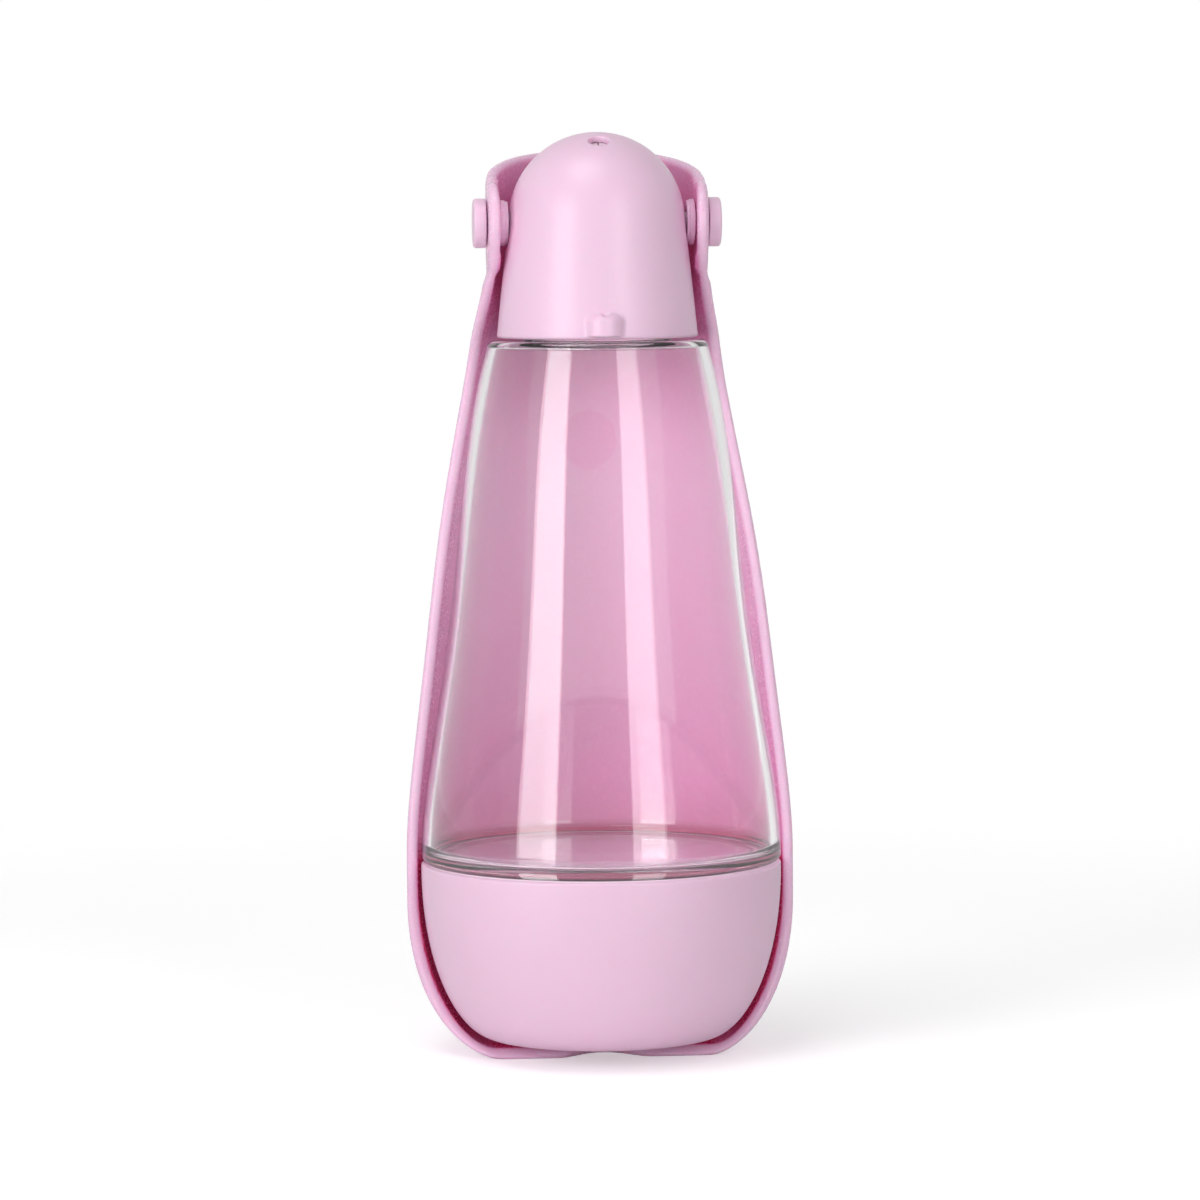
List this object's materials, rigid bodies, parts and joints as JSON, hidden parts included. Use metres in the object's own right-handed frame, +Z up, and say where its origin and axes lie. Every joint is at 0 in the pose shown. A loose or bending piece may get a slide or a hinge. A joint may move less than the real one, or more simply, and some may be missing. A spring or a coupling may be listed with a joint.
{
  "type": "dog travel water bottle",
  "caption": "Clear tapered water bottle with a pink dome cap, a twist-off food cup below and a swinging drinking trough that hugs its back.",
  "frame": {"origin": "on the bottle's axis at the standing surface, on the underside of the trough's foot", "axes": "+Z up along the bottle's axis, -Y towards the front where the food cup and cap show, +X to the right seen from the front"},
  "size_m": [0.0938, 0.0903, 0.222],
  "materials": {
    "clear_plastic": "clear polished plastic",
    "satin_pink_plastic": "light pink plastic with a satin surface",
    "pink_plastic": "light pink plastic with a glossy surface",
    "white_plastic": "plain white plastic",
    "silicone": "translucent white silicone"
  },
  "bodies": {
    "bottle": {"bottle_body": "clear_plastic", "bottle_floor": "clear_plastic"},
    "cap_seat": {"neck_seal": "silicone"},
    "cap": {"cap_shell": "satin_pink_plastic", "cap_liner": "white_plastic", "outlet_valve": "silicone", "pivot_pin_left": "satin_pink_plastic", "pivot_pin_right": "satin_pink_plastic", "pivot_washer_left": "pink_plastic", "pivot_washer_right": "pink_plastic"},
    "trough": {"trough": "pink_plastic"},
    "cup_seat": {"cup_seal": "silicone"},
    "cup": {"food_cup": "satin_pink_plastic"}
  },
  "joints": [
    {"name": "cap_lift", "type": "slide", "parent": "bottle", "child": "cap_seat", "axis": [0, 0, 1], "range_m": [0, 0.0009]},
    {"name": "cap_turn", "type": "hinge", "parent": "cap_seat", "child": "cap", "pos_m": [0, 0, 0.18], "axis": [0, 0, 1], "range_deg": [0, 60]},
    {"name": "trough_swing", "type": "hinge", "parent": "cap", "child": "trough", "pos_m": [0, 0, 0.2004], "axis": [1, 0, 0], "range_deg": [0, 180]},
    {"name": "cup_drop", "type": "slide", "parent": "bottle", "child": "cup_seat", "axis": [0, 0, -1], "range_m": [0, 0.0009]},
    {"name": "cup_turn", "type": "hinge", "parent": "cup_seat", "child": "cup", "pos_m": [0, 0, 0.04], "axis": [0, 0, -1], "range_deg": [0, 60]}
  ],
  "couplings": [
    {"joint": "cap_lift", "follows": "cap_turn", "m_per_rad": 0.00085944},
    {"joint": "cup_drop", "follows": "cup_turn", "m_per_rad": 0.00085944}
  ]
}
